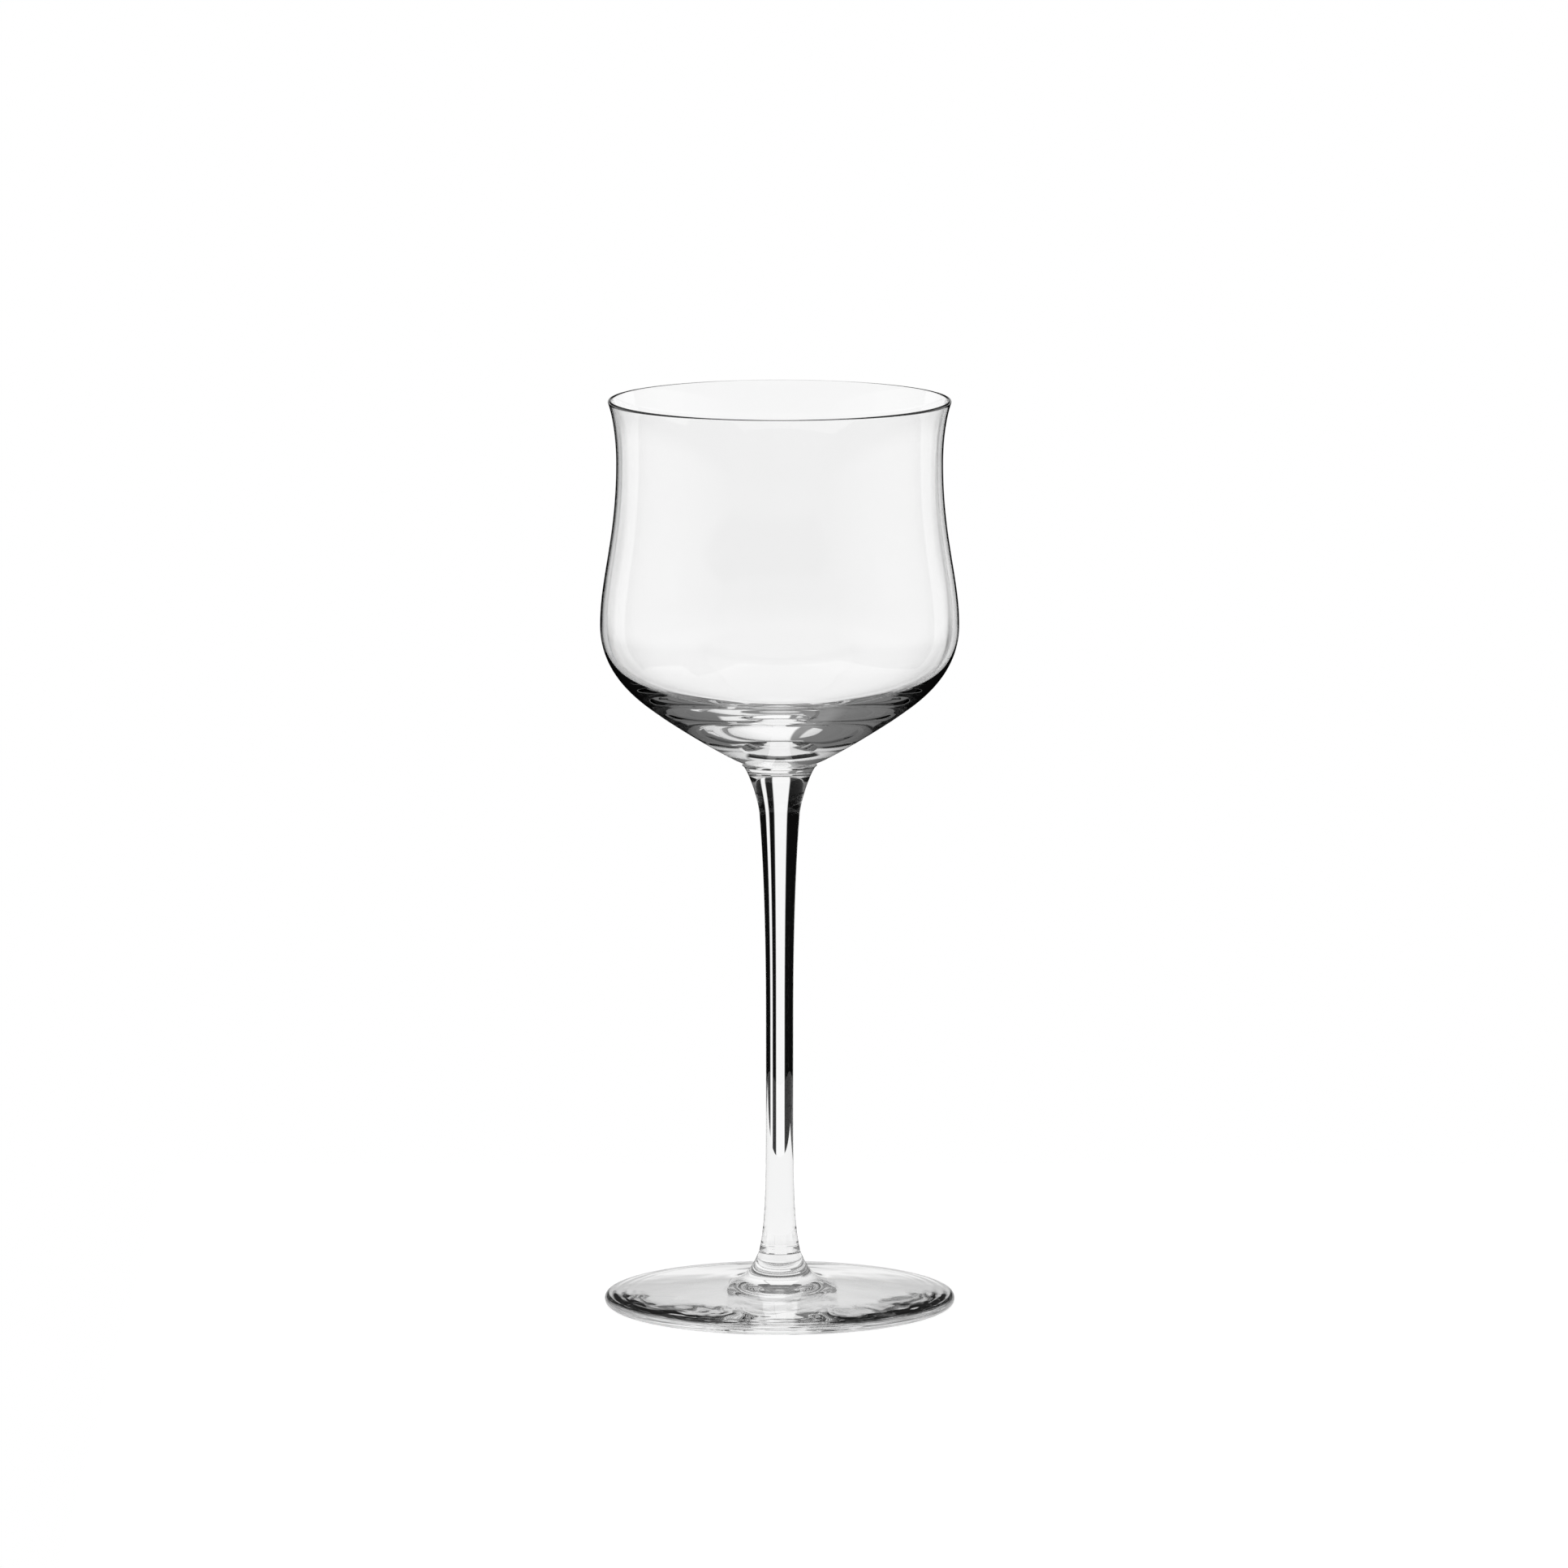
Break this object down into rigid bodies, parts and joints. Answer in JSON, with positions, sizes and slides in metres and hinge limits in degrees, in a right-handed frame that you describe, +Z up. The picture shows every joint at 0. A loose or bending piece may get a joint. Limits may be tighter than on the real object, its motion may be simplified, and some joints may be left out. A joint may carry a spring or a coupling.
{
  "type": "stemmed wine glass",
  "caption": "Clear stemmed wine glass for rose wine: tulip bowl with a turned-out lip, slim drawn stem and wide round foot.",
  "frame": {"origin": "centre of the standing ring under the foot, at the level of the table", "axes": "+Z up along the axis that the bowl, stem and foot are turned about; X and Y are alike"},
  "size_m": [0.0824, 0.0824, 0.21],
  "materials": {
    "bowl_glass": "clear, blown and fire-polished",
    "stem_glass": "clear, drawn and fire-polished",
    "foot_glass": "clear, pressed flat and fire-polished"
  },
  "bodies": {
    "root": {"bowl": "bowl_glass", "stem": "stem_glass", "foot": "foot_glass"}
  },
  "joints": []
}
